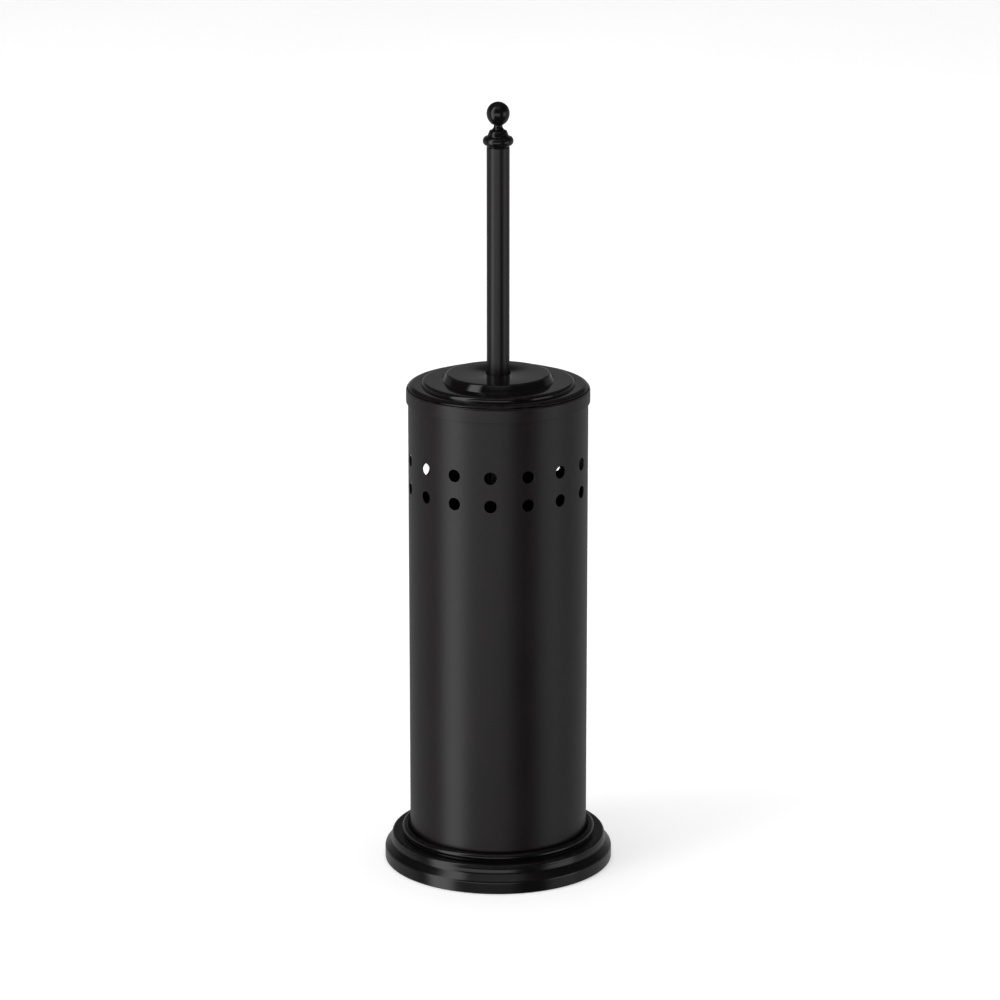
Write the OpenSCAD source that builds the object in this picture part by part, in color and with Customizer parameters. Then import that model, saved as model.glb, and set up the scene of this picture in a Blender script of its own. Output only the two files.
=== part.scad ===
// Free-standing toilet brush holder: a tall perforated steel canister on a
// weighted stepped base, a drip cup inside it, and a brush whose rod passes
// through a loose stepped lid and ends in a turned ball finial.
// Frame: origin on the floor at the canister's axis, +Z up, millimetres.

/* [Canister] */
// Outer diameter of the canister tube
tube_d = 95; // [94.8:0.1:95.2]
// Wall thickness of the canister tube
tube_wall = 0.7; // [0.6:0.05:0.8]
// Height of the canister rim above the floor
tube_top = 258.6; // [257:0.1:258.6]
// Depth of the folded-in hem at the canister rim
hem_depth = 6; // [3:0.5:9]

/* [Vents] */
// Diameter of each vent hole
vent_d = 6.5; // [3:0.1:9]
// Number of vent holes in a row
vents_per_row = 15; // [8:1:18]
// Turn of the first hole from the front centre line, in degrees
vent_phase = -4.77; // [-12:0.01:12]
// Height of the lower row of vents
vent_low_z = 209.2; // [150:0.1:220]
// Distance between the two rows of vents
vent_row_gap = 15.2; // [10:0.1:22]

/* [Base] */
// Radius of the base's lower flank
base_r = 61.2; // [60.8:0.1:63]
// Radius of the base's upper tier
tier_r = 57.8; // [57.4:0.1:58.6]
// Height of the lower flank
flank_h = 6.5; // [5.5:0.1:7]
// Height of the ledge that carries the bead
ledge_z = 14.7; // [14.4:0.1:15.4]
// Radius of the bead's section
bead_minor = 1.9; // [1.5:0.1:1.9]
// Thickness of the pressed base shell
shell_t = 0.9; // [0.6:0.05:1]
// Thickness of the rubber foot pad
pad_t = 2; // [1.2:0.1:2]

/* [Drip cup] */
// Height of the drip cup's rim above the floor
cup_top = 118; // [108:1:150]
// Wall thickness of the drip cup
cup_wall = 1.5; // [1:0.1:2]

/* [Brush] */
// Diameter of the handle rod
rod_d = 12; // [11.9:0.05:12.05]
// Wall thickness of the handle rod
rod_wall = 1.2; // [1.1:0.05:1.3]
// Radius over the bristles
bristle_r = 37.5; // [30:0.5:38]
// Height of the bristle pack's top above the floor
bristle_top = 103; // [90:1:104]

/* [Finial] */
// Radius of the ball
ball_r = 6; // [5:0.1:7]
// Height of the ball's centre above the floor
ball_z = 407.4; // [406.4:0.1:408.4]
// Outer radius of the finial's flange
flange_r = 8; // [7.6:0.1:9]

/* [Lid] */
// Outer radius of the lid's skirt band
lid_r = 48.52; // [48.5:0.01:49.2]
// Height of the lower edge of the skirt band
skirt_z = 254.1; // [252:0.1:255]
// Radius of the lid's raised middle disc
disc_r = 29.5; // [27:0.1:32]
// Height of the raised disc's top
disc_z = 269.2; // [269:0.1:269.4]

/* [Hidden] */

tube_r = tube_d / 2;
bore_r = tube_r - tube_wall;
hem_r = tube_r - 2 * tube_wall;
rod_r = rod_d / 2;
rod_ir = rod_r - rod_wall;

plate_t = 0.9;             // base plate
weight_z = pad_t + plate_t;
seat_z = 9;                // where the canister stands on the weight
floor_t = 1.2;             // canister floor
washer_z = seat_z + floor_t;
nut_z = washer_z + 1.6;
cup_foot_z = seat_z + floor_t + 0.3;
cup_floor_z = 18.2;        // underside of the cup's raised floor
cup_floor_t = 1.5;
tip_z = cup_floor_z + cup_floor_t + 0.9;

rod_bottom = 128;
rod_top = 389.7;
clip_z = 254.0;            // underside of the rod clip
clip_t = 0.9;
stop_z = clip_z + clip_t + 0.3;
stop_t = 1.5;
bush_z = stop_z + stop_t + 0.3;
bush_top = disc_z - 1;
bush_r = 6.95;             // outside of the grommet's sleeve
neck_top = 126.4;

black = [0.09, 0.085, 0.085];
gloss = [0.06, 0.055, 0.055];
steel = [0.62, 0.63, 0.65];

// Points along an elliptical arc from angle a0 to a1.
function arc(cx, cz, rx, rz, a0, a1, n) =
    [for (i = [0:n]) let (a = a0 + (a1 - a0) * i / n)
        [cx + rx * cos(a), cz + rz * sin(a)]];

module lathe(pts) rotate_extrude($fn = 96) polygon(pts);

module ring(ro, ri, z0, z1) difference() {
    translate([0, 0, z0]) cylinder(r = ro, h = z1 - z0, $fn = 96);
    translate([0, 0, z0 - 1]) cylinder(r = ri, h = z1 - z0 + 2, $fn = 96);
}

// One row of radial holes through the canister wall.
module vent_row(z)
    for (k = [0:vents_per_row - 1])
        rotate([0, 0, vent_phase + k * 360 / vents_per_row])
            translate([0, -tube_r, z]) rotate([90, 0, 0])
                cylinder(d = vent_d, h = 8, center = true, $fn = 32);

// ---------- canister and base ----------

module canister_tube() color(black) difference() {
    lathe(concat(
        [[bore_r, seat_z], [tube_r, seat_z], [tube_r, tube_top - tube_wall]],
        arc(tube_r - tube_wall, tube_top - tube_wall, tube_wall, tube_wall, 15, 165, 8),
        [[hem_r, tube_top - tube_wall], [hem_r, tube_top - hem_depth],
         [bore_r, tube_top - hem_depth - 0.3]]));
    vent_row(vent_low_z);
    vent_row(vent_low_z + vent_row_gap);
}

// Shallow dish welded into the foot of the tube.
module canister_floor() color(steel) difference() {
    lathe([[0, seat_z], [bore_r - 0.05, seat_z], [bore_r - 0.05, 13],
           [bore_r - 0.85, 13], [bore_r - 0.85, seat_z + floor_t + 0.4],
           [bore_r - 1.25, seat_z + floor_t], [0, seat_z + floor_t]]);
    translate([0, 0, seat_z - 1]) cylinder(r = 3.2, h = 4, $fn = 48);
}

// Pressed shell: flank, ogee shoulder, upper tier, ledge and a bead that
// closes against the tube.
module base_shell() color(gloss) {
    bead_r = tube_r + 2.45;
    bead_z = ledge_z + 2.05;
    sh = tier_r;
    z0 = flank_h - 0.6;    // foot of the shoulder
    z1 = flank_h + 4.7;    // top of the shoulder
    difference() {
        lathe(concat(
            [[base_r - shell_t - 0.2, 0.15], [base_r - 0.3, 0.15], [base_r, 0.5], [base_r, z0]],
            arc(base_r - 1.85, z0, 1.85, 1.85, 6, 41, 5),
            arc(sh + 1.85, z1, 1.85, 1.85, 221, 180, 6),
            [[sh - 0.06, z1 + 0.5], [sh - 0.2, ledge_z - 2.1], [sh - 0.42, ledge_z - 1.5]],
            arc(sh - 1.75, ledge_z - 1.35, 1.3, 1.35, 15, 90, 6),
            [[52.6, ledge_z], [51.75, ledge_z - 0.4]],
            arc(bead_r, bead_z, bead_minor, bead_minor, -38, 152, 14),
            [[tube_r + 0.05, bead_z + 0.9], [tube_r + 0.05, ledge_z - 1.1]]));
        // hollow underside
        lathe(concat(
            [[0, 0], [base_r - shell_t, 0], [base_r - shell_t, z0]],
            arc(base_r - 1.85, z0, 1.85 - shell_t, 1.85 - shell_t, 10, 41, 3),
            arc(sh + 1.85, z1, 1.85 + shell_t, 1.85 + shell_t, 221, 180, 5),
            [[sh - shell_t - 0.1, ledge_z - 2.3], [sh - shell_t - 0.6, ledge_z - 1.4],
             [sh - 2.2, ledge_z - 1.1], [0, ledge_z - 1.1]]));
        // hollow inside the bead
        rotate_extrude($fn = 96) translate([bead_r, bead_z]) circle(r = bead_minor - shell_t, $fn = 32);
    }
}

// Cast weight with a recess that centres the canister.
module base_weight() color([0.2, 0.2, 0.2]) difference() {
    lathe([[0, weight_z], [base_r - shell_t - 0.5, weight_z], [base_r - shell_t - 0.5, 5.4],
           [tier_r - shell_t - 0.5, 7.6], [tier_r - shell_t - 0.5, 12.4],
           [tier_r - shell_t - 1.4, 13.3], [tube_r + 0.1, 13.3], [tube_r + 0.1, seat_z], [0, seat_z]]);
    translate([0, 0, weight_z - 1]) cylinder(r = 6.5, h = 7 - weight_z, $fn = 48);
    cylinder(r = 3.3, h = 20, $fn = 48);
}

module base_plate() color(steel) ring(base_r - shell_t - 0.1, 7, pad_t, pad_t + plate_t);

module foot_pad() color([0.12, 0.12, 0.12])
    lathe([[0, 0], [57.5, 0], [58, 0.5], [58, pad_t], [0, pad_t]]);

// Low socket-head bolt, washer and nut that clamp the canister to the weight.
module clamp_bolt() color(steel) difference() {
    union() {
        lathe([[0, 3.3], [4.8, 3.3], [5.4, 3.9], [5.4, 6], [0, 6]]);
        translate([0, 0, 5.5]) cylinder(r = 2.97, h = 11.8, $fn = 48);
    }
    translate([0, 0, 2]) cylinder(d = 4 / cos(30), h = 2.9, $fn = 6);
}

module clamp_washer() color(steel) ring(6, 3.2, washer_z, washer_z + 1.6);

module clamp_nut() color(steel) difference() {
    translate([0, 0, nut_z]) cylinder(d = 10 / cos(30), h = 5, $fn = 6);
    translate([0, 0, nut_z - 1]) cylinder(r = 3, h = 7, $fn = 48);
}

// Lift-out plastic cup with a foot ring that clears the nut.
module drip_cup() color([0.16, 0.16, 0.17])
    lathe(concat(
        [[0, cup_floor_z], [44.6 - cup_wall - 0.2, cup_floor_z], [44.6 - cup_wall, cup_foot_z],
         [44.6, cup_foot_z], [45.7, cup_top - 1]],
        arc(45.7 - cup_wall / 2, cup_top - 1, cup_wall / 2, 1, 15, 165, 6),
        [[45.7 - cup_wall, cup_top - 1], [44.7 - cup_wall, cup_floor_z + cup_floor_t + 0.5]],
        arc(44.7 - cup_wall - 0.5, cup_floor_z + cup_floor_t + 0.5, 0.5, 0.5, -15, -90, 3),
        [[0, cup_floor_z + cup_floor_t]]));

// ---------- brush ----------

module stop_washer() color([0.1, 0.1, 0.1]) ring(9.5, rod_r + 0.05, stop_z, stop_z + stop_t);

// Tube with a shallow groove that holds the clip.
module handle_rod() color(black)
    lathe([[rod_ir, rod_bottom], [rod_r - 0.3, rod_bottom], [rod_r, rod_bottom + 0.3],
           [rod_r, clip_z - 0.1], [rod_r - 0.6, clip_z - 0.1], [rod_r - 0.6, clip_z + clip_t + 0.1],
           [rod_r, clip_z + clip_t + 0.1], [rod_r, rod_top - 0.4], [rod_r - 0.4, rod_top],
           [rod_ir, rod_top]]);

// Snap ring, open on one side.
module rod_clip() color(steel) difference() {
    ring(9, rod_r - 0.55, clip_z, clip_z + clip_t);
    translate([0, -3.5, clip_z - 1]) cube([12, 7, 3]);
}

// Ball, neck, bell-shaped shoulder, flange and a short spigot, in one turning.
module finial() color(gloss) difference() {
    union() {
        // the ball is a little longer below its middle than above
        lathe(concat(
            arc(0, ball_z, ball_r, ball_r * 1.11, -90, 0, 16),
            arc(0, ball_z, ball_r, ball_r, 5, 90, 17)));
        lathe(concat(
            [[0, rod_top], [5.7, rod_top], [5.95, rod_top + 0.25], [5.95, 390.6]],
            arc(flange_r - 1.9, 392.95, 1.9, 2.3, -80, 84, 14),
            [[5.85, 395.25], [5.5, 395.65], [5.22, 396.2], [5.05, 396.75], [4.9, 397.3],
             [4.7, 397.95], [4.3, 398.45], [3.3, 398.8], [2.8, 399.25], [2.45, 399.9],
             [2.25, 400.6], [2.3, 401.3], [2.5, 402], [0, 403]]));
    }
    translate([0, 0, rod_top - 1]) cylinder(r = 2.5, h = 7.5, $fn = 48);
}

module finial_stud() color(steel)
    translate([0, 0, 380]) cylinder(r = 2.47, h = 16, $fn = 48);

module rod_top_plug() color("goldenrod") difference() {
    lathe([[0, 376], [rod_ir - 0.02, 376], [rod_ir - 0.02, 389.4], [0, 389.4]]);
    translate([0, 0, 379.6]) cylinder(r = 2.5, h = 12, $fn = 48);
}

module rod_end_plug() color("goldenrod") difference() {
    lathe([[0, rod_bottom + 0.2], [rod_ir - 0.02, rod_bottom + 0.2], [rod_ir - 0.02, 148], [0, 148]]);
    translate([0, 0, rod_bottom - 1]) cylinder(r = 3, h = 18.4, $fn = 48);
}

module head_stud() color(steel)
    translate([0, 0, 112.5]) cylinder(r = 2.97, h = 32.5, $fn = 48);

module rod_seal() color([0.1, 0.1, 0.1]) ring(7.2, 3.1, neck_top, rod_bottom);

// Moulded core: the socket neck on top, the bristle stem below.
module brush_core() color([0.12, 0.12, 0.12]) difference() {
    lathe(concat(
        [[0, 26.5]],
        arc(0, 33, 6.5, 6.5, -75, 0, 6),
        [[6.5, bristle_top + 0.4], [10.5, bristle_top + 0.8], [11, bristle_top + 1.4],
         [11, bristle_top + 2.6], [10.4, bristle_top + 3.2], [8.9, bristle_top + 4.2],
         [8.5, bristle_top + 6], [8, neck_top - 1], [7.4, neck_top], [0, neck_top]]));
    translate([0, 0, 110.5]) cylinder(r = 4.02, h = 20, $fn = 48);
}

module socket_insert() color("goldenrod") difference() {
    translate([0, 0, 110.8]) cylinder(r = 4, h = 15.4, $fn = 48);
    translate([0, 0, 112]) cylinder(r = 3, h = 20, $fn = 48);
}

// Outer shape of the tufts around and below the stem.
module bristle_pack() color([0.93, 0.93, 0.91]) {
    r = bristle_r;
    lathe(concat(
        [[0, tip_z]],
        arc(0, tip_z + 22, r, 22, -80, 0, 12),
        arc(r - 6, bristle_top - 6, 6, 6, 0, 80, 6),
        [[r - 8, bristle_top], [6.55, bristle_top], [6.55, 33]],
        arc(0, 33, 6.55, 6.55, -15, -90, 6)));
}

// ---------- lid ----------

// Sleeve that runs on the rod, with a flange under the lid. Its top ends just
// under the cover.
module lid_grommet() color([0.08, 0.08, 0.08])
    lathe([[rod_r + 0.05, bush_z], [10, bush_z], [10, bush_z + 1.2], [bush_r, bush_z + 1.2],
           [bush_r, bush_top - 0.5], [bush_r - 0.35, bush_top], [rod_r + 0.15, bush_top],
           [rod_r + 0.05, bush_top - 0.1]]);

// Push-on ring that keeps the grommet in the lid.
module grommet_ring() color(steel) ring(9.6, bush_r, 266.7, 267.6);

module lid_band() color(black) lathe(concat(
    [[lid_r - 0.7, skirt_z], [lid_r - 0.15, skirt_z], [lid_r, skirt_z + 0.15], [lid_r, 260.05]],
    arc(lid_r - 4, 260.05, 4, 3.45, 6, 29, 4),
    [[lid_r - 0.75, 261.62], [lid_r - 1.15, 261.35], [lid_r - 0.7, 260.8]]));

// Stepped cover: rounded rim, flat ring, step, ledge and raised disc.
module lid_cover() color(gloss) {
    rc = lid_r - 4;
    difference() {
        lathe(concat(
            [[8.4, 262.45], [40.2, 262.45], [45, 262.6], [lid_r - 1.5, 261.35], [lid_r - 1.1, 261.75]],
            arc(rc, 260.05, 4, 3.45, 38, 90, 7),
            [[41.0, 263.4], [40.6, 263.2], [40.35, 263.5]],
            arc(38.6, 263.9, 1.7, 1.6, 0, 90, 7),
            [[disc_r + 0.2, 265.5], [disc_r, 265.3], [disc_r - 0.4, 267.2], [disc_r - 1.1, disc_z - 0.6]],
            arc(disc_r - 3.9, disc_z - 0.5, 2.75, 0.5, 15, 90, 8),
            [[6.6, disc_z], [6.6, disc_z - 0.8], [8.4, disc_z - 0.8]]));
        // hollow underside
        lathe([[0, 260], [39.4, 260], [39.4, 263.6], [38.3, 264.65], [disc_r - 0.9, 264.65],
               [disc_r - 1.3, 267.2], [disc_r - 2, disc_z - 1.2], [disc_r - 4, disc_z - 0.8],
               [0, disc_z - 0.8]]);
    }
}

// Moulding under the cover: hub for the grommet, web, ribs, rim flange and
// the plug ring that centres the lid in the canister.
module lid_insert() color([0.1, 0.1, 0.1]) difference() {
    union() {
        lathe([[bush_r + 0.08, 258.6], [10.2, 258.6], [44, 258.9], [44, 251.6], [44.4, 251],
               [45.2, 251], [45.6, 251.6], [45.6, 258.9], [47.4, 258.9], [47.4, 260.6],
               [46.8, 260.9], [45.2, 260.9], [44.4, 260.6], [10.2, 260.6], [10.2, 266.4],
               [bush_r + 0.08, 266.4]]);
        for (k = [0:5]) rotate([0, 0, 30 + 60 * k])
            translate([9.5, -0.8, 260]) cube([28, 1.6, 4.55]);
    }
    translate([0, 0, 250]) cylinder(r = bush_r + 0.08, h = 20, $fn = 96);
}

canister_tube();
canister_floor();
base_shell();
base_weight();
base_plate();
foot_pad();
clamp_bolt();
clamp_washer();
clamp_nut();
drip_cup();
stop_washer();
handle_rod();
rod_clip();
finial();
finial_stud();
rod_top_plug();
rod_end_plug();
head_stud();
rod_seal();
brush_core();
socket_insert();
bristle_pack();
lid_grommet();
grommet_ring();
lid_band();
lid_cover();
lid_insert();
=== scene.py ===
import math
import random

import bpy
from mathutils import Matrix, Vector


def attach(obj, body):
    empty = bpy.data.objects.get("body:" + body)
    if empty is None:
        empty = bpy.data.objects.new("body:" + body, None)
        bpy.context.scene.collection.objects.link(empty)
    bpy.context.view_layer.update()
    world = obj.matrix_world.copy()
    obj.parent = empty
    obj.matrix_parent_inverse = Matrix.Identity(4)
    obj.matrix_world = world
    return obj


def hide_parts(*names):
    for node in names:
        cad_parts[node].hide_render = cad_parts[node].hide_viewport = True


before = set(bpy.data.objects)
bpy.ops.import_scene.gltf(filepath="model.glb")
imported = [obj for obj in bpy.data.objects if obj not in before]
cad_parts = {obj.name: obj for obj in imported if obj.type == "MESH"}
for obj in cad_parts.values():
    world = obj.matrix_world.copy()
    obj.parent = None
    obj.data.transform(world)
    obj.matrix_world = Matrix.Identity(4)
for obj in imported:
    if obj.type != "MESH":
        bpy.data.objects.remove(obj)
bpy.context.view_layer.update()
MM = 0.001
scene = bpy.context.scene
scene.view_settings.view_transform = "Standard"
scene.view_settings.look = "None"

# ------------------------------------------------------------------ camera
cam_data = bpy.data.cameras.new("camera")
cam_data.sensor_width = 36.0
cam_data.lens = 151.555
cam_data.clip_start = 0.05
cam_data.clip_end = 60.0
cam = bpy.data.objects.new("camera", cam_data)
cam.location = (0.00096243, -2.1467941, 0.8088679)
cam.rotation_euler = (math.radians(74.15690), 0.0, 0.0)
scene.collection.objects.link(cam)
scene.camera = cam


# ------------------------------------------------------------------ node help
class Net:
    """A short way to write a node tree."""

    def __init__(self, mat):
        self.t = mat.node_tree
        self.t.nodes.clear()

    def n(self, kind, **kw):
        node = self.t.nodes.new(kind)
        ins = kw.pop("ins", {})
        for k, v in kw.items():
            setattr(node, k, v)
        for k, v in ins.items():
            self.put(node, k, v)
        return node

    def put(self, node, key, val):
        sock = node.inputs[key]
        if isinstance(val, bpy.types.NodeSocket):
            self.t.links.new(val, sock)
        else:
            sock.default_value = val

    def math(self, op, a, b=0.0, clamp=False):
        m = self.n("ShaderNodeMath", operation=op, use_clamp=clamp)
        self.put(m, 0, a)
        self.put(m, 1, b)
        return m.outputs[0]

    def ramp(self, fac, lo, hi, to_lo=0.0, to_hi=1.0):
        m = self.n("ShaderNodeMapRange", clamp=True)
        for k, v in (("Value", fac), ("From Min", lo), ("From Max", hi), ("To Min", to_lo), ("To Max", to_hi)):
            self.put(m, k, v)
        return m.outputs["Result"]

    def mix(self, fac, a, b):
        m = self.n("ShaderNodeMix", data_type="RGBA")
        self.put(m, "Factor", fac)
        self.put(m, "A", a)
        self.put(m, "B", b)
        return m.outputs["Result"]

    def noise(self, vec, scale, detail=2.0, rough=0.5):
        m = self.n("ShaderNodeTexNoise", ins={"Vector": vec, "Scale": scale, "Detail": detail, "Roughness": rough})
        return m.outputs["Fac"]

    def coords(self, scale=(1, 1, 1)):
        tc = self.n("ShaderNodeTexCoord")
        mp = self.n("ShaderNodeMapping")
        self.put(mp, "Vector", tc.outputs["Object"])
        mp.inputs["Scale"].default_value = scale
        return mp.outputs["Vector"]

    def attr(self, name):
        return self.n("ShaderNodeAttribute", attribute_name=name).outputs["Fac"]


def rgba(c):
    return (c[0], c[1], c[2], 1.0)


def make(name):
    m = bpy.data.materials.new(name)
    m.use_nodes = True
    return m, Net(m)


def finish_mat(net, bsdf):
    out = net.n("ShaderNodeOutputMaterial")
    net.t.links.new(bsdf.outputs[0], out.inputs[0])


def lacquer(name, deep, pale, wear, rough, rough_var, grain_mm, grain_bump, wave_bump,
            edge_wear=0.35, coat=0.0, coat_rough=0.1, drag=(1, 1, 1), ior=1.5):
    """Sprayed lacquer on metal: fine grain, slow ripple, dust-soft variation and
    edges rubbed a little thinner."""
    m, n = make(name)
    p = n.coords(drag)
    q = n.coords()
    slow = n.noise(q, 22.0, 3.0, 0.55)
    mid = n.noise(q, 140.0, 3.0, 0.6)
    fine = n.noise(p, 1000.0 / grain_mm, 2.0, 0.6)
    speck = n.ramp(n.noise(q, 900.0, 1.0, 0.4), 0.70, 0.78)
    edge = n.attr("edge")
    rub = n.math("MULTIPLY", edge, n.ramp(n.noise(q, 260.0, 4.0, 0.65), 0.42, 0.66), True)
    col = n.mix(n.ramp(slow, 0.35, 0.65), rgba(deep), rgba(pale))
    col = n.mix(n.math("MULTIPLY", speck, 0.25), col, rgba([c * 1.8 for c in pale]))
    col = n.mix(n.math("MULTIPLY", rub, edge_wear), col, rgba(wear))
    r = n.math("ADD", rough - rough_var / 2, n.math("MULTIPLY", n.ramp(slow, 0.3, 0.7), rough_var * 0.5))
    r = n.math("ADD", r, n.math("MULTIPLY", n.ramp(mid, 0.3, 0.7), rough_var * 0.35))
    r = n.math("ADD", r, n.math("MULTIPLY", fine, rough_var * 0.3))
    r = n.math("SUBTRACT", r, n.math("MULTIPLY", rub, 0.06))
    b1 = n.n("ShaderNodeBump", ins={"Height": fine, "Strength": grain_bump, "Distance": 0.00002})
    b2 = n.n("ShaderNodeBump", ins={"Height": mid, "Strength": wave_bump, "Distance": 0.00005,
                                    "Normal": b1.outputs[0]})
    bsdf = n.n("ShaderNodeBsdfPrincipled", ins={"Base Color": col, "Roughness": r, "Normal": b2.outputs[0]})
    bsdf.inputs["IOR"].default_value = ior
    bsdf.inputs["Coat Weight"].default_value = coat
    bsdf.inputs["Coat Roughness"].default_value = coat_rough
    finish_mat(n, bsdf)
    return m


def plastic(name, a, b, rough, var, grain_mm, bump, ior=1.47):
    """Moulded plastic: a fine eroded texture and faint flow variation."""
    m, n = make(name)
    q = n.coords()
    slow = n.noise(q, 30.0, 3.0, 0.5)
    fine = n.noise(q, 1000.0 / grain_mm, 3.0, 0.6)
    edge = n.attr("edge")
    col = n.mix(n.ramp(slow, 0.3, 0.7), rgba(a), rgba(b))
    col = n.mix(n.math("MULTIPLY", edge, 0.3), col, rgba([min(1.0, c * 1.5) for c in b]))
    r = n.math("ADD", rough - var / 2, n.math("MULTIPLY", n.ramp(fine, 0.3, 0.7), var))
    b1 = n.n("ShaderNodeBump", ins={"Height": fine, "Strength": bump, "Distance": 0.00004})
    bsdf = n.n("ShaderNodeBsdfPrincipled", ins={"Base Color": col, "Roughness": r, "Normal": b1.outputs[0]})
    bsdf.inputs["IOR"].default_value = ior
    finish_mat(n, bsdf)
    return m


def bare_metal(name, a, b, rough, var, drag, bump):
    """Turned or plated metal with tool marks along one direction."""
    m, n = make(name)
    p = n.coords(drag)
    q = n.coords()
    marks = n.noise(p, 1400.0, 2.0, 0.6)
    slow = n.noise(q, 90.0, 3.0, 0.6)
    col = n.mix(n.ramp(slow, 0.3, 0.7), rgba(a), rgba(b))
    col = n.mix(n.math("MULTIPLY", marks, 0.2), col, rgba([c * 0.7 for c in a]))
    r = n.math("ADD", rough - var / 2, n.math("MULTIPLY", n.ramp(marks, 0.3, 0.7), var))
    b1 = n.n("ShaderNodeBump", ins={"Height": marks, "Strength": bump, "Distance": 0.00002})
    bsdf = n.n("ShaderNodeBsdfPrincipled", ins={"Base Color": col, "Roughness": r, "Normal": b1.outputs[0]})
    bsdf.inputs["Metallic"].default_value = 1.0
    finish_mat(n, bsdf)
    return m


SATIN = lacquer("satin_black", (0.0062, 0.0036, 0.0040), (0.0086, 0.0054, 0.0058), (0.045, 0.040, 0.038),
                0.36, 0.06, 0.35, 0.16, 0.05, edge_wear=0.30)
ROD = lacquer("satin_black_rod", (0.0062, 0.0036, 0.0040), (0.0086, 0.0054, 0.0058), (0.045, 0.040, 0.038),
              0.33, 0.06, 0.30, 0.14, 0.05, edge_wear=0.30)
GLOSS = lacquer("gloss_black", (0.0026, 0.0020, 0.0021), (0.0042, 0.0034, 0.0035), (0.035, 0.030, 0.028),
                0.20, 0.05, 0.5, 0.05, 0.05, edge_wear=0.25)
LIDTOP = lacquer("gloss_black_lid", (0.0026, 0.0020, 0.0021), (0.0042, 0.0034, 0.0035), (0.035, 0.030, 0.028),
                 0.08, 0.03, 0.5, 0.02, 0.04, edge_wear=0.25)
CUP = plastic("cup_plastic", (0.030, 0.031, 0.033), (0.042, 0.043, 0.046), 0.46, 0.12, 0.6, 0.35)
CORE = plastic("core_plastic", (0.018, 0.018, 0.018), (0.028, 0.027, 0.027), 0.42, 0.12, 0.5, 0.30)
NYLON = plastic("black_nylon", (0.008, 0.008, 0.008), (0.014, 0.013, 0.013), 0.34, 0.10, 0.4, 0.20)
RUBBER = plastic("foot_rubber", (0.020, 0.020, 0.020), (0.034, 0.033, 0.032), 0.78, 0.14, 0.7, 0.60)
ZINC = bare_metal("zinc_steel", (0.52, 0.53, 0.55), (0.62, 0.63, 0.64), 0.32, 0.14, (1, 1, 14), 0.25)
BRASS = bare_metal("brass_insert", (0.62, 0.45, 0.20), (0.72, 0.54, 0.26), 0.28, 0.12, (1, 1, 14), 0.25)
CAST = plastic("cast_weight", (0.060, 0.058, 0.056), (0.095, 0.090, 0.086), 0.72, 0.18, 1.4, 0.9)


def bristle_material():
    m, n = make("bristle_nylon")
    q = n.coords()
    tip = n.attr("tip")
    tone = n.noise(q, 260.0, 2.0, 0.5)
    col = n.mix(n.ramp(tone, 0.3, 0.7), rgba((0.74, 0.74, 0.70)), rgba((0.86, 0.86, 0.83)))
    # painted shade: each filament turns greyer towards its root, where the filaments crowd round the core
    col = n.mix(n.math("MULTIPLY", n.ramp(tip, 0.0, 0.5, 1.0, 0.0), 0.35), col, rgba((0.45, 0.45, 0.42)))
    r = n.math("ADD", 0.34, n.math("MULTIPLY", tone, 0.16))
    b1 = n.n("ShaderNodeBump", ins={"Height": n.noise(q, 1800.0, 1.0, 0.5), "Strength": 0.2, "Distance": 0.00002})
    bsdf = n.n("ShaderNodeBsdfPrincipled", ins={"Base Color": col, "Roughness": r, "Normal": b1.outputs[0]})
    bsdf.inputs["IOR"].default_value = 1.53
    finish_mat(n, bsdf)
    return m


BRISTLE = bristle_material()


# ------------------------------------------------------------------ mesh help
def fillet(pts, step=12.0, guard=0.06):
    """Points (r, z[, radius]) to a polyline whose corners are rounded, with a
    guard point beside each round so flat faces keep flat normals.
    Returns [(r, z, on_round)]."""
    out = []
    n = len(pts)
    for i, p in enumerate(pts):
        r = p[2] if len(p) > 2 else 0.0
        P = Vector(p[:2])
        if i in (0, n - 1) or r <= 0:
            out.append((P.x, P.y, 0.0))
            continue
        A, B = Vector(pts[i - 1][:2]), Vector(pts[i + 1][:2])
        u, v = (A - P), (B - P)
        la, lb = u.length, v.length
        u.normalize(); v.normalize()
        ang = math.acos(max(-1, min(1, u.dot(v))))
        t = r / math.tan(ang / 2)
        t = min(t, la * 0.48, lb * 0.48)
        r = t * math.tan(ang / 2)
        T0, T1 = P + u * t, P + v * t
        bis = (u + v).normalized()
        C = P + bis * (r / math.sin(ang / 2))
        a0 = math.atan2(T0.y - C.y, T0.x - C.x)
        a1 = math.atan2(T1.y - C.y, T1.x - C.x)
        d = (a1 - a0 + math.pi) % (2 * math.pi) - math.pi
        k = max(2, int(math.ceil(abs(math.degrees(d)) / step)))
        g = min(guard, t * 0.5)
        G0 = T0 + u * min(g, (la - t) * 0.4)
        out.append((G0.x, G0.y, 0.0))
        for j in range(k + 1):
            a = a0 + d * j / k
            out.append((C.x + r * math.cos(a), C.y + r * math.sin(a), 1.0))
        G1 = T1 + v * min(g, (lb - t) * 0.4)
        out.append((G1.x, G1.y, 0.0))
    return out


def arc(cx, cz, rx, rz, a0, a1, n):
    return [(cx + rx * math.cos(math.radians(a0 + (a1 - a0) * i / n)),
             cz + rz * math.sin(math.radians(a0 + (a1 - a0) * i / n))) for i in range(n + 1)]


def add_mesh(name, verts, faces, mat, smooth=True, attrs=None):
    me = bpy.data.meshes.new(name)
    me.from_pydata([tuple(v) for v in verts], [], faces)
    me.validate()
    me.update()
    if smooth:
        me.polygons.foreach_set("use_smooth", [True] * len(me.polygons))
    for k, vals in (attrs or {}).items():
        a = me.attributes.new(k, "FLOAT", "POINT")
        a.data.foreach_set("value", [float(x) for x in vals])
    me.materials.append(mat)
    ob = bpy.data.objects.new(name, me)
    scene.collection.objects.link(ob)
    return ob


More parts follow.
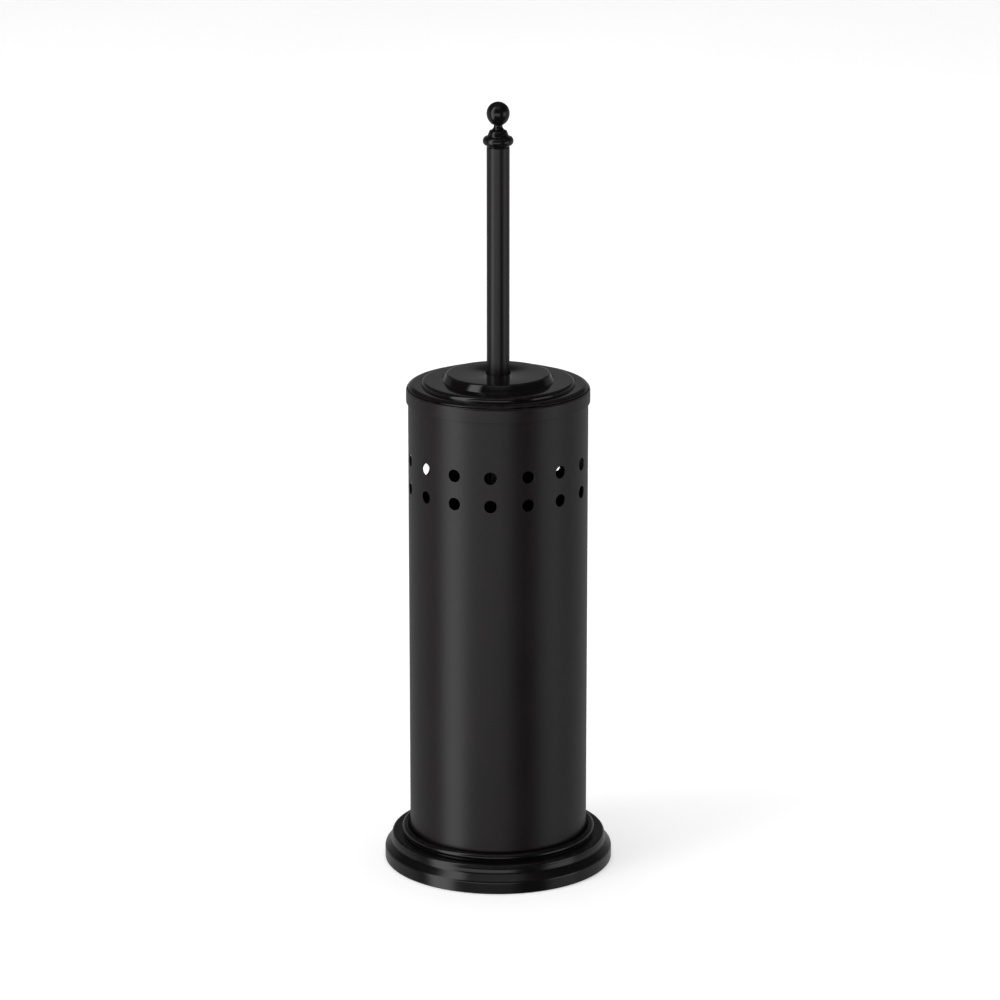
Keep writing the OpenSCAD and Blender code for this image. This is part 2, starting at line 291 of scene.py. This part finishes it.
def lathe(name, prof, mat, seg=192, closed=True):
    """Turns a closed profile (r, z[, edge]) in mm about Z into a solid."""
    prof = [p if len(p) > 2 else (p[0], p[1], 0.0) for p in prof]
    clean = []
    for p in prof:
        if not clean or math.hypot(p[0] - clean[-1][0], p[1] - clean[-1][1]) > 1e-5:
            clean.append(p)
    if closed and math.hypot(clean[0][0] - clean[-1][0], clean[0][1] - clean[-1][1]) < 1e-5:
        clean.pop()
    prof = clean
    area = sum(prof[i][0] * prof[(i + 1) % len(prof)][1] - prof[(i + 1) % len(prof)][0] * prof[i][1]
               for i in range(len(prof)))
    if area < 0:
        prof = prof[::-1]
    verts, edge, rows = [], [], []
    for r, z, e in prof:
        if r < 1e-6:
            rows.append([len(verts)])
            verts.append((0, 0, z * MM)); edge.append(e)
        else:
            rows.append(list(range(len(verts), len(verts) + seg)))
            for k in range(seg):
                a = 2 * math.pi * k / seg
                verts.append((r * math.sin(a) * MM, -r * math.cos(a) * MM, z * MM))
                edge.append(e)
    faces = []
    m = len(rows)
    for i in range(m):
        A, B = rows[i], rows[(i + 1) % m]
        if len(A) == 1 and len(B) == 1:
            continue
        for k in range(seg):
            k2 = (k + 1) % seg
            if len(A) == 1:
                faces.append((A[0], B[k2], B[k]))
            elif len(B) == 1:
                faces.append((A[k], A[k2], B[0]))
            else:
                faces.append((A[k], A[k2], B[k2], B[k]))
    return add_mesh(name, verts, faces, mat, attrs={"edge": edge})


# ------------------------------------------------------------------ canister
TUBE_R, WALL = 47.5, 0.7
PHASE, ROWS, HOLES, HOLE_R = -4.77, (209.2, 224.4), 15, 3.25
SIDE = 12                     # cells along one side of a vent's patch
HALF = 5.0                    # half the patch, mm


def canister():
    """The tube as one clean quad mesh: a grid wall whose patches open into
    round vents with softened rims, and a folded-in hem at the top."""
    cols_per = 2 * SIDE
    ncol = HOLES * cols_per
    pitch = 2 * math.pi / HOLES
    half_a = HALF / TUBE_R
    ang = []                 # angle of each column
    for k in range(HOLES):
        c = math.radians(PHASE) + k * pitch
        for j in range(SIDE):
            ang.append(c - half_a + 2 * half_a * j / SIDE)
        g0, g1 = c + half_a, c + pitch - half_a
        for j in range(SIDE):
            ang.append(g0 + (g1 - g0) * j / SIDE)
    hem = TUBE_R - 2 * WALL
    ir = TUBE_R - WALL
    top = 258.6
    patch = {}
    verts, edge, faces = [], [], []

    def ring(r, z, e=0.0):
        base = len(verts)
        for a in ang:
            verts.append((r * math.sin(a) * MM, -r * math.cos(a) * MM, z * MM))
            edge.append(e)
        return base

    def zrows():
        """Wall heights from the foot up; a patch's rows are marked."""
        rows = [(z, None) for z in (9.0, 9.15, 14, 30, 55, 80, 105, 130, 155, 180, 196)]
        for q, zc in enumerate(ROWS):
            for i in range(SIDE + 1):
                rows.append((zc - HALF + 2 * HALF * i / SIDE, (q, i)))
            if q == 0:
                lo, hi = zc + HALF, ROWS[1] - HALF
                for i in range(1, 5):
                    rows.append((lo + (hi - lo) * i / 5, None))
        rows += [(z, None) for z in (236, 243, 249, 252.0)]
        return rows

    rows = zrows()
    outer = [(ring(TUBE_R, z), z, tag) for z, tag in rows]
    inner = [(ring(ir, z), z, tag) for z, tag in rows]

    def wall(levels, flip):
        for (b0, z0, t0), (b1, z1, t1) in zip(levels, levels[1:]):
            inpatch = t0 is not None and t1 is not None and t0[0] == t1[0]
            for c in range(ncol):
                if inpatch and c % cols_per < SIDE:
                    continue
                c2 = (c + 1) % ncol
                f = (b0 + c, b0 + c2, b1 + c2, b1 + c)
                faces.append(f[::-1] if flip else f)

    wall(outer, False)
    wall(inner, True)

    def level(levels, q, i):
        for b, z, t in levels:
            if t == (q, i):
                return b
        raise KeyError((q, i))

    def loop(levels, q, k):
        """The patch's boundary vertices, anticlockwise seen from outside."""
        c0 = k * cols_per
        out = []
        for j in range(SIDE):
            out.append(level(levels, q, 0) + (c0 + j) % ncol)
        for i in range(SIDE):
            out.append(level(levels, q, i) + (c0 + SIDE) % ncol)
        for j in range(SIDE, 0, -1):
            out.append(level(levels, q, SIDE) + (c0 + j) % ncol)
        for i in range(SIDE, 0, -1):
            out.append(level(levels, q, i) + c0 % ncol)
        return out

    def uv(i):
        """Boundary position i on the square, as (u, v) in -1..1."""
        s, t = divmod(i, SIDE)
        f = 2.0 * t / SIDE - 1.0
        return [(f, -1.0), (1.0, f), (-f, 1.0), (-1.0, -f)][s]

    nb = 4 * SIDE
    soft = 0.28               # rounding of the vent's rim
    for q, zc in enumerate(ROWS):
        for k in range(HOLES):
            c = math.radians(PHASE) + k * pitch

            def put(hr, R, i, e):
                u, v = uv(i)
                th = math.atan2(v, u)
                x, zz = hr * math.cos(th), hr * math.sin(th)
                a = c + math.asin(x / R)
                verts.append((R * math.sin(a) * MM, -R * math.cos(a) * MM, (zc + zz) * MM))
                edge.append(e)

            def band(A, B, flip=False):
                for i in range(nb):
                    i2 = (i + 1) % nb
                    f = (A[i], A[i2], B[i2], B[i])
                    faces.append(f[::-1] if flip else f)

            def vring(hr, R, e):
                base = len(verts)
                for i in range(nb):
                    put(hr, R, i, e)
                return [base + i for i in range(nb)]

            seq = [loop(outer, q, k)]
            for hr, e in ((4.5, 0.0), (3.95, 0.0), (HOLE_R + soft + 0.05, 0.1)):
                seq.append(vring(hr, TUBE_R, e))
            for j in range(0, 5):
                t = math.radians(90 * j / 4)
                seq.append(vring(HOLE_R + soft * (1 - math.sin(t)), TUBE_R - soft * (1 - math.cos(t)), 1.0))
            for j in range(4, -1, -1):
                t = math.radians(90 * j / 4)
                seq.append(vring(HOLE_R + soft * (1 - math.sin(t)), ir + soft * (1 - math.cos(t)), 0.6))
            for hr, e in ((HOLE_R + soft + 0.05, 0.0), (3.95, 0.0), (4.5, 0.0)):
                seq.append(vring(hr, ir, e))
            seq.append(loop(inner, q, k))
            for A, B in zip(seq, seq[1:]):
                band(A, B)

    # hem and foot close the solid
    up = [(TUBE_R, top - 1.0, 0.0), (TUBE_R, top - WALL - 0.05, 0.2)]
    for p in arc(TUBE_R - WALL, top - WALL, WALL, WALL, 0, 180, 12):
        up.append((p[0], p[1], 1.0))
    up += [(hem, top - WALL - 0.05, 0.2), (hem, top - 1.0, 0.0), (hem, top - 5.7, 0.0),
           (hem + 0.08, top - 6.0, 0.3), (hem + 0.4, top - 6.15, 0.3), (ir, top - 6.3, 0.0)]
    prev = outer[-1][0]
    for r, z, e in up:
        b = ring(r, z, e)
        for c in range(ncol):
            c2 = (c + 1) % ncol
            faces.append((prev + c, prev + c2, b + c2, b + c))
        prev = b
    b = inner[-1][0]
    for c in range(ncol):
        c2 = (c + 1) % ncol
        faces.append((prev + c, prev + c2, b + c2, b + c))
    a, b = outer[0][0], inner[0][0]
    for c in range(ncol):
        c2 = (c + 1) % ncol
        faces.append((b + c, b + c2, a + c2, a + c))
    return add_mesh("canister_skin", verts, faces, SATIN, attrs={"edge": edge})


tube = canister()
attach(tube, "holder"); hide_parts("canister_tube")

# ------------------------------------------------------------------ base
BR, TR, LZ = 61.2, 57.8, 14.7
bead_r, bead_z, bead_m = TUBE_R + 2.45, LZ + 2.05, 1.9
prof = []
prof += fillet([(BR - 0.9, 2.0), (BR - 0.9, 0.15, 0.12), (BR, 0.15, 0.4), (BR, 5.6)])
prof += [(p[0], p[1], 0.4) for p in arc(BR - 1.85, 5.9, 1.85, 1.85, 0, 41, 12)]
prof += [(p[0], p[1], 0.0) for p in arc(TR + 1.85, 11.2, 1.85, 1.85, 221, 180, 12)]
prof += [(TR - 0.01, 11.45, 0.0), (TR - 0.04, 11.8, 0.0), (TR - 0.10, 12.2, 0.1), (TR - 0.19, 12.6, 0.2),
         (TR - 0.30, 12.95, 0.4), (TR - 0.41, 13.25, 0.6)]
prof += [(p[0], p[1], 0.9) for p in arc(TR - 1.75, LZ - 1.35, 1.3, 1.35, 14, 88, 12)]
prof += [(TR - 1.9, LZ, 0.2), (TR - 2.3, LZ, 0.0), (52.0, LZ, 0.0), (51.4, LZ - 0.01, 0.0), (51.1, LZ + 0.02, 0.0),
         (50.96, LZ + 0.1, 0.0), (50.9, LZ + 0.25, 0.0)]
prof += [(p[0], p[1], 0.5) for p in arc(bead_r, bead_z, bead_m, bead_m, -58, 152, 30)]
prof += [(TUBE_R + 0.55, bead_z + 0.82, 0.0), (TUBE_R + 0.1, bead_z + 0.70, 0.0), (TUBE_R + 0.05, bead_z + 0.5, 0.0),
         (TUBE_R + 0.05, LZ - 1.1, 0.0)]
prof += [(TR - 2.2, LZ - 1.1, 0.0), (TR - 1.5, 13.3, 0.0), (TR - 1.0, 12.4, 0.0), (TR - 0.9, 11.2, 0.0),
         (57.57, 9.40, 0.0), (60.07, 6.52, 0.0), (BR - 0.9, 5.9, 0.0)]
base = lathe("base_skin", prof, GLOSS, 256)
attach(base, "holder"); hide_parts("base_shell")

# ------------------------------------------------------------------ lid
LR = 48.52
prof = fillet([(LR - 0.7, 258.0), (LR - 0.7, 254.1, 0.1), (LR, 254.1, 0.18), (LR, 260.05)])
prof += [(p[0], p[1], 0.4) for p in arc(LR - 4, 260.05, 4, 3.45, 3, 27, 7)]
prof += [(LR - 0.56, 261.66, 0.5), (LR - 0.85, 261.58, 0.0), (LR - 1.15, 261.35, 0.0), (LR - 0.7, 260.8, 0.0)]
band = lathe("lid_band_skin", prof, SATIN, 256)
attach(band, "lid"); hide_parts("lid_band")

rc = LR - 4
prof = [(40.2, 262.45, 0), (45.0, 262.6, 0), (47.02, 261.35, 0), (47.42, 261.75, 0.0), (47.55, 262.02, 0.3)]
prof += [(p[0], p[1], 0.5) for p in arc(rc, 260.05, 4, 3.45, 40, 90, 12)]
prof += [(44.3, 263.5, 0.0), (42.0, 263.48, 0.0), (41.2, 263.45, 0.0), (41.0, 263.4, 0.0), (40.8, 263.3, 0.0),
         (40.6, 263.2, 0.0), (40.45, 263.3, 0.0), (40.35, 263.5, 0.0), (40.31, 263.8, 0.4)]
prof += [(p[0], p[1], 0.7) for p in arc(38.6, 263.9, 1.7, 1.6, 6, 90, 12)]
prof += [(38.2, 265.5, 0.0), (30.2, 265.5, 0.0), (29.85, 265.48, 0.0), (29.62, 265.42, 0.0), (29.5, 265.3, 0.0),
         (29.3, 265.6, 0.0), (28.9, 266.3, 0.0), (28.1, 267.6, 0.0), (27.55, 268.45, 0.1), (27.36, 268.75, 0.6),
         (27.2, 268.92, 1.0)]
prof += [(p[0], p[1], 0.8) for p in arc(25.6, 268.85, 1.5, 0.35, 20, 88, 12)]
prof += [(25.4, 269.2, 0.2), (25.0, 269.2, 0.0), (6.9, 269.2, 0.0), (6.68, 269.15, 0.4), (6.6, 269.0, 0.4),
         (6.6, 268.4, 0), (8.4, 268.4, 0)]
prof += [(25.5, 268.4, 0), (27.5, 268.0, 0), (28.2, 267.2, 0), (28.6, 264.65, 0)]
prof += [(38.3, 264.65, 0), (39.4, 263.6, 0), (39.4, 262.45, 0)]
cover = lathe("lid_cover_skin", prof, LIDTOP, 256)
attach(cover, "lid"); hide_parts("lid_cover")

# ------------------------------------------------------------------ rod, collar, finial
prof = fillet([(4.8, 200.0), (4.8, 128.0, 0.15), (6.0, 128.0, 0.3), (6.0, 253.9, 0.05), (5.4, 253.9), (5.4, 255.0),
               (6.0, 255.0, 0.05), (6.0, 389.7, 0.35), (4.8, 389.7, 0.15), (4.8, 380.0)])
rod = lathe("rod_skin", prof, ROD, 96)
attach(rod, "brush"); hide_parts("handle_rod")

prof = fillet([(6.05, 262.0), (6.05, 257.0, 0.15), (10.0, 257.0, 0.3), (10.0, 258.2, 0.2), (6.95, 258.2, 0.2),
               (6.95, 268.2, 0.3), (6.05, 268.2, 0.15), (6.05, 266.0)])
collar = lathe("rod_collar_skin", prof, NYLON, 128)
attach(collar, "lid_bush"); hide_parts("lid_grommet")

prof = [(0, 389.7, 0), (5.6, 389.7, 0), (5.8, 389.78, 0.4), (5.92, 389.92, 0.4), (5.95, 390.1, 0), (5.95, 390.55, 0)]
prof += [(p[0], p[1], 0.6) for p in arc(6.1, 392.95, 1.9, 2.3, -80, 82, 26)]
prof += [(6.1, 395.2, 0.1), (5.85, 395.28, 0.0), (5.64, 395.48, 0.0), (5.42, 395.85, 0.1), (5.24, 396.3, 0.2),
         (5.07, 396.8, 0.3), (4.9, 397.35, 0.5), (4.72, 397.85, 0.8), (4.46, 398.25, 1.0), (4.12, 398.45, 0.6),
         (3.75, 398.56, 0.1), (3.42, 398.72, 0), (3.14, 398.95, 0), (2.9, 399.22, 0), (2.68, 399.55, 0), (2.5, 399.9, 0),
         (2.36, 400.25, 0), (2.27, 400.6, 0), (2.24, 400.9, 0), (2.24, 401.18, 0)]
a0 = -math.degrees(math.acos(2.26 / 6.0))
prof += [(p[0], p[1], 0.0) for p in arc(0, 407.4, 6.0, 6.66, a0, 0, 24)]
prof += [(p[0], p[1], 0.0) for p in arc(0, 407.4, 6.0, 6.0, 3, 90, 26)][:-1] + [(0, 413.4, 0)]
finial = lathe("finial_skin", prof, GLOSS, 128)
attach(finial, "brush"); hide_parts("finial")

# ------------------------------------------------------------------ drip cup and brush core
w = 1.5
prof = fillet([(0, 18.2), (44.6 - w - 0.2, 18.2, 0.4), (44.6 - w, 10.5, 0.3), (44.6, 10.5, 0.4), (45.7, 117.0)])
prof += [(p[0], p[1], 0.8) for p in arc(45.7 - w / 2, 117.0, w / 2, 1.0, 0, 180, 10)]
prof += fillet([(45.7 - w, 117.0), (44.7 - w, 19.7, 0.5), (0, 19.7)])[1:]
cup = lathe("cup_skin", prof, CUP, 192)
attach(cup, "cup"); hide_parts("drip_cup")

BT, TIP, BRIS = 103.0, 20.6, 37.5
prof = [(0, 26.5, 0)] + [(p[0], p[1], 0) for p in arc(0, 33, 6.5, 6.5, -80, 0, 10)]
prof += fillet([(6.5, 40), (6.5, BT + 0.6, 0.4), (11, BT + 0.9, 0.5), (11, BT + 3.2, 0.7), (8.7, BT + 4.4, 1.0),
                (8.4, BT + 8, 0.5), (8.0, 126.4, 0.8), (4.1, 126.4, 0.2), (4.1, 118.0)])[1:]
prof += [(4.1, 110.5, 0), (0, 110.5, 0)]
core = lathe("core_skin", prof, CORE, 96)
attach(core, "brush"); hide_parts("brush_core")


# ------------------------------------------------------------------ bristles
def reach(z_dir, z0):
    """How far a filament rooted at height z0 and sloped by z_dir may run
    before it leaves the pack's outline."""
    r, z, step = 6.2, z0, 0.5
    cz = math.cos(z_dir); sz = math.sin(z_dir)
    length = 0.0
    while length < 60:
        r2, z2 = r + cz * step, z + sz * step
        if r2 > BRIS - 0.4 or z2 > BT - 0.5:
            break
        if z2 < TIP + 22:
            k = (r2 / BRIS) ** 2 + ((z2 - TIP - 22) / 22) ** 2
            if k > 0.97:
                break
        if r2 > BRIS - 6 and z2 > BT - 6 and math.hypot(r2 - BRIS + 6, z2 - BT + 6) > 5.7:
            break
        r, z, length = r2, z2, length + step
    return length


def bristles():
    rng = random.Random(7)
    verts, faces, tip = [], [], []
    sides, segs = 4, 3

    def filament(root, direction, length, bow):
        d = direction.normalized()
        side = d.cross(Vector((0, 0, 1)))
        side = side.normalized() if side.length > 1e-4 else Vector((1, 0, 0))
        up = side.cross(d)
        prev = None
        for s in range(segs + 1):
            t = s / segs
            c = root + d * (length * t) + bow * (t * t)
            rad = 0.17 * (1 - 0.25 * t)
            base = len(verts)
            for q in range(sides):
                a = 2 * math.pi * q / sides
                v = c + side * (rad * math.cos(a)) + up * (rad * math.sin(a))
                verts.append((v.x * MM, v.y * MM, v.z * MM))
                tip.append(t)
            if prev is not None:
                for q in range(sides):
                    q2 = (q + 1) % sides
                    faces.append((prev + q, prev + q2, base + q2, base + q))
            else:
                faces.append(tuple(base + q for q in reversed(range(sides))))
            prev = base
        faces.append(tuple(prev + q for q in range(sides)))

    rows, per = 19, 14
    for i in range(rows):
        z0 = 36.5 + (BT - 4.5 - 36.5) * i / (rows - 1)
        for j in range(per):
            a = 2 * math.pi * (j + 0.5 * (i % 2)) / per
            for f in range(15):
                da = rng.gauss(0, 0.085)
                dz = rng.gauss(0, 0.075) + (0.06 if i == 0 else 0.0) - (0.10 if i == rows - 1 else 0.0)
                off = rng.uniform(-0.5, 0.5)
                root = Vector((6.1 * math.sin(a + da * 0.35), -6.1 * math.cos(a + da * 0.35), z0 + off))
                d = Vector((math.sin(a + da) * math.cos(dz), -math.cos(a + da) * math.cos(dz), math.sin(dz)))
                L = reach(dz, z0 + off) * rng.uniform(0.955, 0.99)
                filament(root, d, L, Vector((0, 0, -rng.uniform(0.0, 0.5))))
    for ring_i, (tilt, count) in enumerate(((-0.28, 14), (-0.62, 13), (-0.95, 10), (-1.28, 6), (-1.52, 2))):
        for j in range(count):
            a = 2 * math.pi * (j + 0.5 * (ring_i % 2)) / count
            for f in range(15):
                da = rng.gauss(0, 0.10)
                dt = tilt + rng.gauss(0, 0.075)
                z0 = 33 + 6.0 * math.sin(tilt)
                r0 = max(0.2, 6.0 * math.cos(tilt))
                root = Vector((r0 * math.sin(a + da * 0.3), -r0 * math.cos(a + da * 0.3), z0))
                d = Vector((math.sin(a + da) * math.cos(dt), -math.cos(a + da) * math.cos(dt), math.sin(dt)))
                # run out to the dome
                L, r, z = 0.0, r0, z0
                while L < 60:
                    r += abs(math.cos(dt)) * 0.4; z += math.sin(dt) * 0.4
                    if r > BRIS - 0.4 or (z < TIP + 22 and (r / BRIS) ** 2 + ((z - TIP - 22) / 22) ** 2 > 0.97):
                        break
                    L += 0.4
                filament(root, d, L * rng.uniform(0.955, 0.99), Vector((0, 0, 0)))
    return add_mesh("bristle_tufts", verts, faces, BRISTLE, attrs={"tip": tip})


tufts = bristles()
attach(tufts, "brush"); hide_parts("bristle_pack")

# ------------------------------------------------------------------ carried-over CAD nodes
CARRY = {
    "canister_floor": ZINC, "base_weight": CAST, "base_plate": ZINC, "foot_pad": RUBBER, "clamp_bolt": ZINC,
    "clamp_washer": ZINC, "clamp_nut": ZINC, "stop_washer": NYLON, "rod_clip": ZINC, "finial_stud": ZINC,
    "rod_top_plug": BRASS, "rod_end_plug": BRASS, "head_stud": ZINC, "rod_seal": RUBBER, "socket_insert": BRASS,
    "grommet_ring": ZINC, "lid_insert": CORE,
}
for node, mat in CARRY.items():
    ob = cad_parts[node]
    for slot in ob.material_slots:
        slot.material = mat
    if not ob.material_slots:
        ob.data.materials.append(mat)

# ------------------------------------------------------------------ floor
m, n = make("studio_floor")
q = n.coords()
tone = n.noise(q, 3.0, 2.0, 0.5)
col = n.mix(n.ramp(tone, 0.3, 0.7), rgba((0.90, 0.90, 0.90)), rgba((0.92, 0.92, 0.92)))
bsdf = n.n("ShaderNodeBsdfPrincipled", ins={"Base Color": col})
bsdf.inputs["Roughness"].default_value = 0.9
bsdf.inputs["Specular IOR Level"].default_value = 0.1
bsdf.inputs["Emission Color"].default_value = (1, 1, 1, 1)      # a lit acrylic table
bsdf.inputs["Emission Strength"].default_value = 0.32
finish_mat(n, bsdf)
floor_me = bpy.data.meshes.new("studio_floor")
S = 14.0
floor_me.from_pydata([(-S, -S, 0), (S, -S, 0), (S, S, 0), (-S, S, 0)], [], [(0, 1, 2, 3)])
floor_me.materials.append(m)
floor = bpy.data.objects.new("studio_floor", floor_me)
scene.collection.objects.link(floor)
floor.visible_glossy = False

# ------------------------------------------------------------------ light
# The surroundings are a soft studio: broad pale walls with darker gaps between
# them, fixed in the room and not to the viewer.
world = bpy.data.worlds.new("studio")
scene.world = world
world.use_nodes = True
wn = Net(world)
tc = wn.n("ShaderNodeTexCoord")
sep = wn.n("ShaderNodeSeparateXYZ")
wn.put(sep, 0, tc.outputs["Generated"])
neg_y = wn.math("MULTIPLY", sep.outputs["Y"], -1.0)
azim = wn.math("ARCTAN2", sep.outputs["X"], neg_y)       # 0 = front, + = right
azim = wn.math("MULTIPLY", azim, 180 / math.pi)

elev = wn.math("MULTIPLY", wn.math("ARCSINE", sep.outputs["Z"]), 180 / math.pi)


def smooth(x, lo, hi):
    m = wn.n("ShaderNodeMapRange", clamp=True, interpolation_type="SMOOTHSTEP")
    for k, v in (("Value", x), ("From Min", lo), ("From Max", hi), ("To Min", 0.0), ("To Max", 1.0)):
        wn.put(m, k, v)
    return m.outputs["Result"]


def span(x, lo, hi, soft):
    """1 inside lo..hi, falling off over soft degrees on each side."""
    return wn.math("MULTIPLY", smooth(x, lo - soft, lo + soft), smooth(x, hi + soft, hi - soft))


# name, azimuth range (0 = front, + = right), elevation range, edge softness, brightness
PANELS = [
    ("left_softbox", (-74, -47), (-40, 64), (6, 10), 2.0),
    ("front_panel", (-48, 17), (-17.5, 4), (6, 4), 1.25),
    ("right_softbox", (52, 86), (-20, 10), (6, 6), 1.0),
    ("front_high", (-36, 36), (51, 72), (9, 5), 0.42),
    ("overhead", (-400, 400), (66, 100), (1, 12), 0.10),
]
AMBIENT = 0.045
total = AMBIENT
for _, az, el, soft, power in PANELS:
    w = wn.math("MULTIPLY", span(azim, az[0], az[1], soft[0]), span(elev, el[0], el[1], soft[1]))
    total = wn.math("ADD", total, wn.math("MULTIPLY", w, power))
back = smooth(wn.math("ABSOLUTE", azim), 74, 100)
low_back = wn.math("MULTIPLY", back, span(elev, -50, 3, 6))
high_back = wn.math("MULTIPLY", back, span(elev, 3, 18, 3))
total = wn.math("ADD", total, wn.math("MULTIPLY", low_back, 0.29))
total = wn.math("ADD", total, wn.math("MULTIPLY", high_back, 0.13))
bg_room = wn.n("ShaderNodeBackground")
bg_room.inputs["Color"].default_value = (1.0, 1.0, 1.0, 1.0)
wn.put(bg_room, "Strength", total)
bg_white = wn.n("ShaderNodeBackground")
bg_white.inputs["Color"].default_value = (1, 1, 1, 1)
bg_white.inputs["Strength"].default_value = 1.0
lp = wn.n("ShaderNodeLightPath")
mixs = wn.n("ShaderNodeMixShader")
wn.put(mixs, 0, lp.outputs["Is Camera Ray"])
wn.t.links.new(bg_room.outputs[0], mixs.inputs[1])
wn.t.links.new(bg_white.outputs[0], mixs.inputs[2])
wout = wn.n("ShaderNodeOutputWorld")
wn.t.links.new(mixs.outputs[0], wout.inputs[0])


def area(name, loc, target, size, power, glossy=False):
    d = bpy.data.lights.new(name, "AREA")
    d.shape = "DISK"
    d.size = size
    d.energy = power
    o = bpy.data.objects.new(name, d)
    o.location = loc
    o.rotation_euler = (Vector(target) - Vector(loc)).to_track_quat("-Z", "Y").to_euler()
    o.visible_camera = False
    o.visible_glossy = glossy
    scene.collection.objects.link(o)
    return o


area("overhead", (-0.2, 0.2, 4.5), (0, 0, 0), 7.0, 215.0)
